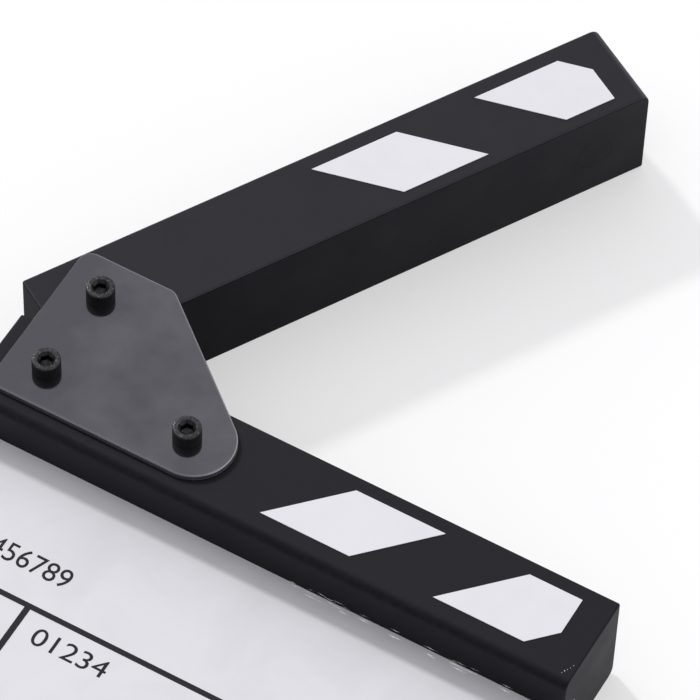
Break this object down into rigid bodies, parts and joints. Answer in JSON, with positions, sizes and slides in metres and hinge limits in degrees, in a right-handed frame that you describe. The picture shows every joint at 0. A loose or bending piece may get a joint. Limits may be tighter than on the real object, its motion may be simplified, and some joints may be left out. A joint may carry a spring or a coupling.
{
  "type": "clapperboard",
  "caption": "Small film clapperboard: white slate held in a grooved black stick, with a hinged clap stick on a bolted corner plate that shuts on hidden magnets.",
  "frame": {"origin": "middle of the lower stick's back face, the face that it lies on", "axes": "+X along the lower stick to its free end, +Y from the slate towards the upper stick, +Z out of the front face, so the board lies on its back"},
  "size_m": [0.1707, 0.2783, 0.035],
  "materials": {
    "black_lacquered_wood": "satin black lacquer",
    "white_acrylic": "polished sheet",
    "dark_nickel_steel": "polished dark nickel plate",
    "black_oxide_steel": "black oxide",
    "zinc_plated_steel": "bright zinc plate",
    "turned_brass": "turned",
    "natural_nylon": "natural nylon",
    "nickel_plated_magnet": "nickel plate",
    "white_film": "satin vinyl film"
  },
  "bodies": {
    "slate_and_lower_stick": {"lower_stick": "black_lacquered_wood", "lower_magnet_plug": "black_lacquered_wood", "slate_board": "white_acrylic", "hinge_plate": "dark_nickel_steel", "pivot_screw": "black_oxide_steel", "left_plate_screw": "black_oxide_steel", "right_plate_screw": "black_oxide_steel", "pivot_lock_nut": "zinc_plated_steel", "left_plate_nut": "zinc_plated_steel", "right_plate_nut": "zinc_plated_steel", "pivot_washer": "zinc_plated_steel", "left_plate_washer": "zinc_plated_steel", "right_plate_washer": "zinc_plated_steel", "lower_magnet": "nickel_plated_magnet", "lower_outer_patch": "white_film", "lower_inner_patch": "white_film"},
    "clap_stick": {"upper_stick": "black_lacquered_wood", "upper_outer_patch": "white_film", "upper_inner_patch": "white_film", "upper_magnet": "nickel_plated_magnet", "upper_magnet_plug": "black_lacquered_wood", "pivot_bush": "turned_brass", "front_glide": "natural_nylon", "rear_glide": "natural_nylon"}
  },
  "joints": [
    {"name": "clap_hinge", "type": "hinge", "parent": "slate_and_lower_stick", "child": "clap_stick", "pos_m": [-0.0684, 0.02685, 0], "axis": [0, 0, 1], "range_deg": [-60.6, 20]}
  ]
}
